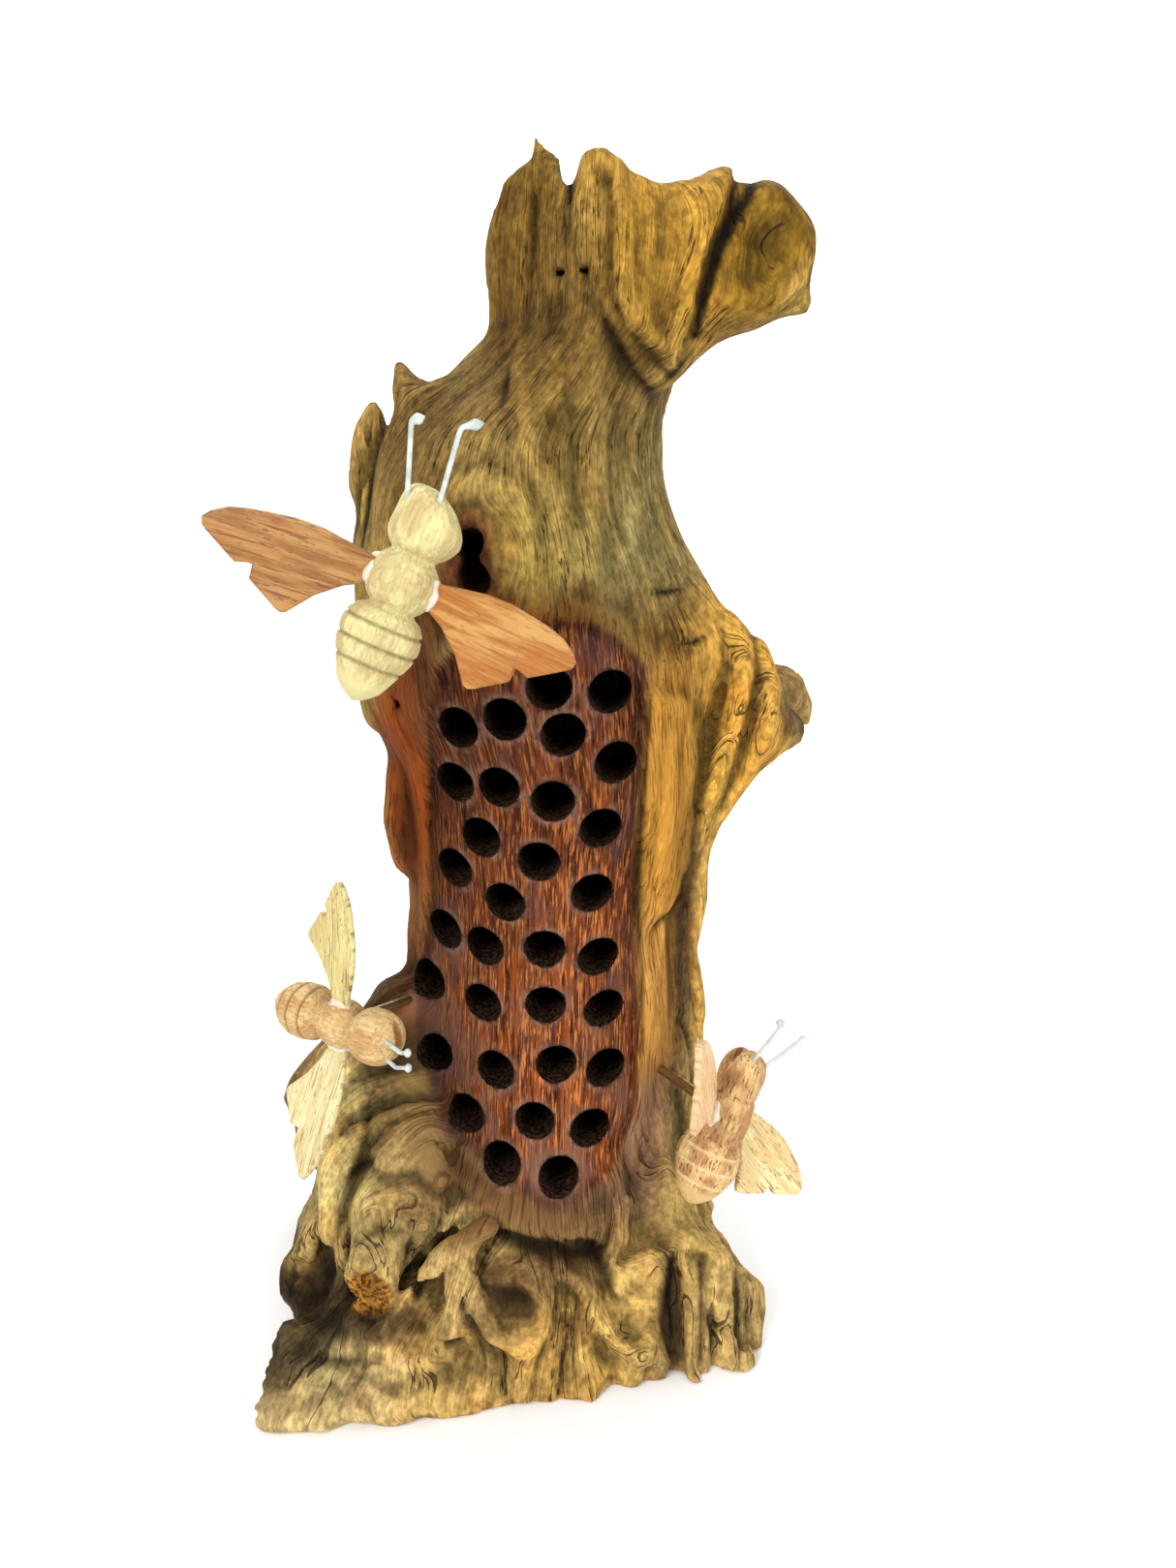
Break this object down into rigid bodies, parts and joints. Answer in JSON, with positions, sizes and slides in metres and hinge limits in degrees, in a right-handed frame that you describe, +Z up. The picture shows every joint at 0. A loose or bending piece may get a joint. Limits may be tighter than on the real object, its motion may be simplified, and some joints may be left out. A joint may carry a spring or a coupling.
{
  "type": "insect hotel",
  "caption": "Freestanding insect hotel: an upright root stump drilled with nesting bores, with three carved wooden bees that swivel on steel pins.",
  "frame": {"origin": "middle of the flat underside, below the stem", "axes": "+Z up along the stump; the drilled face looks towards -Y, +X is to the right of a viewer facing it"},
  "size_m": [0.1432, 0.126, 0.286],
  "materials": {
    "root_wood": "weathered bare wood, sanded dark red-brown on the drilled face",
    "bee_wood_cream": "bare carved wood",
    "bee_wood_tan": "bare turned wood",
    "bee_wood_brown": "bare turned wood, open pored",
    "wing_wood_orange": "bare sawn wood",
    "wing_wood_pale": "bare sawn wood",
    "nylon": "translucent monofilament",
    "hot_glue": "clear hot-melt glue",
    "pin_steel": "plain wire nail"
  },
  "bodies": {
    "root": {"root_trunk": "root_wood", "upper_bee_pin": "pin_steel", "left_bee_pin": "pin_steel", "right_bee_pin": "pin_steel"},
    "upper_bee": {"upper_bee_body": "bee_wood_cream", "upper_bee_wing_left": "wing_wood_orange", "upper_bee_antenna_left": "nylon", "upper_bee_wing_right": "wing_wood_orange", "upper_bee_antenna_right": "nylon", "upper_bee_wing_glue": "hot_glue"},
    "left_bee": {"left_bee_body": "bee_wood_tan", "left_bee_wing_left": "wing_wood_pale", "left_bee_antenna_left": "nylon", "left_bee_wing_right": "wing_wood_pale", "left_bee_antenna_right": "nylon", "left_bee_wing_glue": "hot_glue"},
    "right_bee": {"right_bee_body": "bee_wood_brown", "right_bee_wing_left": "wing_wood_pale", "right_bee_antenna_left": "nylon", "right_bee_wing_right": "wing_wood_pale", "right_bee_antenna_right": "nylon", "right_bee_wing_glue": "hot_glue"}
  },
  "joints": [
    {"name": "upper_bee_swivel", "type": "hinge", "parent": "root", "child": "upper_bee", "pos_m": [-0.0255, -0.06, 0.1985], "axis": [0.0793, -0.9899, 0.1179], "continuous": true},
    {"name": "left_bee_swivel", "type": "hinge", "parent": "root", "child": "left_bee", "pos_m": [-0.0495, -0.031, 0.0875], "axis": [-0.5576, -0.8165, 0.1494], "continuous": true},
    {"name": "right_bee_swivel", "type": "hinge", "parent": "root", "child": "right_bee", "pos_m": [0.0445, -0.035, 0.065], "axis": [0.5792, -0.8152, -0.0026], "continuous": true}
  ]
}
